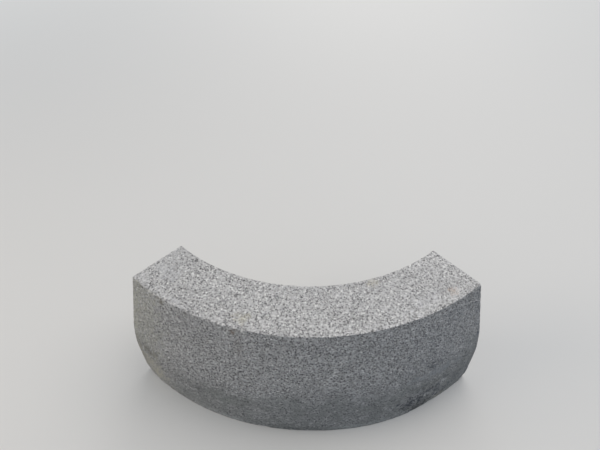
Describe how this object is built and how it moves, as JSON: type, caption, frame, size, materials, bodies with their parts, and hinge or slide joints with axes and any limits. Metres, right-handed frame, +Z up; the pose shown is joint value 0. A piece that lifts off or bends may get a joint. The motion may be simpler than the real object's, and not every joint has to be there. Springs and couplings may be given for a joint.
{
  "type": "granite kerb stone",
  "caption": "Curved kerb stone for an outside corner: flat top, convex road face leaning out over its upper half, upright inner face and flat square ends.",
  "frame": {"origin": "on the flat base, under the middle of the stone's outer size", "axes": "+Z up, the convex road face towards -Y, +X along the chord of the curve"},
  "size_m": [0.726, 0.2545, 0.3],
  "materials": {
    "granite": "matte"
  },
  "bodies": {
    "root": {"kerb_stone": "granite"}
  },
  "joints": []
}
